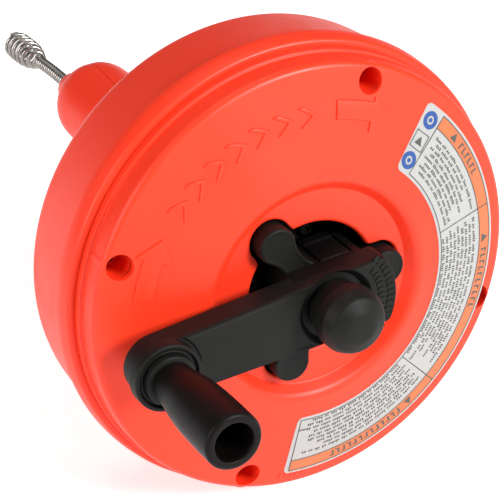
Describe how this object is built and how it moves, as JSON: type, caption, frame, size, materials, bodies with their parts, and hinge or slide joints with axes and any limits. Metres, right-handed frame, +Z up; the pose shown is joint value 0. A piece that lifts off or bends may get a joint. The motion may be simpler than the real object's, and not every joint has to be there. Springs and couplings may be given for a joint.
{
  "type": "drain snake machine",
  "caption": "Hand-cranked drain snake: round cable drum that turns in a nose grip, with a plug-in crank, offset knob, feed trigger and open bulb auger.",
  "frame": {"origin": "centre of the bounding box at bench level, with the machine resting nose down on the drum's flange and front edge", "axes": "+Y horizontally from the crank towards the nose, +Z up, +X to the right when the rear cover is faced"},
  "size_m": [0.2096, 0.4009, 0.208],
  "materials": {
    "orange_shell": "moulded, fine grain, half matt",
    "black_plastic": "moulded, matt",
    "bearing_plastic": "turned, smooth",
    "label_film": "printed film",
    "steel": "zinc plated",
    "spring_steel": "drawn wire, oiled",
    "cast_zinc": "as cast"
  },
  "bodies": {
    "drum": {"front_shell": "orange_shell", "rear_cover": "orange_shell", "drive_socket": "black_plastic", "drive_hub": "cast_zinc", "drive_shaft": "steel", "hub_screw_1": "steel", "hub_screw_2": "steel", "hub_screw_3": "steel", "cover_screw_1": "steel", "cover_screw_2": "steel", "cover_screw_3": "steel", "cover_screw_4": "steel", "blank_label": "label_film", "cable_coil": "spring_steel", "cable_clip": "cast_zinc", "clip_screw": "steel", "neck_retaining_ring": "steel"},
    "grip": {"grip_half_left": "orange_shell", "grip_half_right": "orange_shell", "grip_screw_1": "steel", "grip_screw_2": "steel", "grip_screw_3": "steel", "nozzle_bush": "black_plastic", "neck_bush": "bearing_plastic", "roller_carrier": "black_plastic", "roller_pin_1": "steel", "roller_pin_2": "steel", "trigger_pin": "steel", "trigger_spring": "spring_steel"},
    "trigger": {"feed_trigger": "black_plastic", "roller_pin_3": "steel"},
    "roller_1": {"feed_roller_1": "steel"},
    "roller_2": {"feed_roller_2": "steel"},
    "roller_3": {"feed_roller_3": "steel"},
    "cable": {"cable_lead": "spring_steel", "bulb_auger": "spring_steel"},
    "crank": {"crank_arm": "black_plastic", "crank_boss_cap": "black_plastic", "crank_insert": "steel", "insert_screw": "steel", "knob_spindle": "steel", "knob_washer": "steel", "knob_nut": "steel"},
    "knob": {"knob_sleeve": "black_plastic"},
    "tab_left": {"release_tab_left": "black_plastic"},
    "tab_right": {"release_tab_right": "black_plastic"}
  },
  "joints": [
    {"name": "grip_spin", "type": "hinge", "parent": "drum", "child": "grip", "pos_m": [0, 0.00991, 0.09137], "axis": [0, -0.9921, 0.1257], "continuous": true},
    {"name": "trigger_squeeze", "type": "hinge", "parent": "grip", "child": "trigger", "pos_m": [0, 0.08733, 0.06594], "axis": [-1, 0, 0], "range_deg": [0, 4.3], "stiffness_Nm_per_rad": 1, "springref_deg": -5.73, "deforming": ["trigger_spring"]},
    {"name": "feed_roller_1_spin", "type": "hinge", "parent": "grip", "child": "roller_1", "pos_m": [0.00702, 0.06013, 0.08997], "axis": [0.1962, -0.9675, -0.1598], "continuous": true},
    {"name": "feed_roller_2_spin", "type": "hinge", "parent": "grip", "child": "roller_2", "pos_m": [-0.00702, 0.06013, 0.08997], "axis": [0.1962, -0.897, 0.3961], "continuous": true},
    {"name": "feed_roller_3_spin", "type": "hinge", "parent": "trigger", "child": "roller_3", "pos_m": [0, 0.05819, 0.0746], "axis": [-0.342, -0.9322, 0.1181], "continuous": true},
    {"name": "cable_feed", "type": "slide", "parent": "drum", "child": "cable", "axis": [0, 0.9921, -0.1257], "range_m": [0, 0.08]},
    {"name": "crank_removal", "type": "slide", "parent": "drum", "child": "crank", "axis": [0, -0.9921, 0.1257], "range_m": [0, 0.04]},
    {"name": "knob_spin", "type": "hinge", "parent": "crank", "child": "knob", "pos_m": [-0.08068, -0.17417, 0.11029], "axis": [0, -0.9921, 0.1257], "continuous": true},
    {"name": "tab_left_press", "type": "hinge", "parent": "crank", "child": "tab_left", "pos_m": [0.00958, -0.12638, 0.09443], "axis": [0.9985, 0.0068, 0.0536], "range_deg": [0, 6], "stiffness_Nm_per_rad": 0.3, "springref_deg": -2.86},
    {"name": "tab_right_press", "type": "hinge", "parent": "crank", "child": "tab_right", "pos_m": [0.008, -0.12272, 0.12335], "axis": [-0.9985, -0.0068, -0.0536], "range_deg": [0, 6], "stiffness_Nm_per_rad": 0.3, "springref_deg": -2.86}
  ]
}
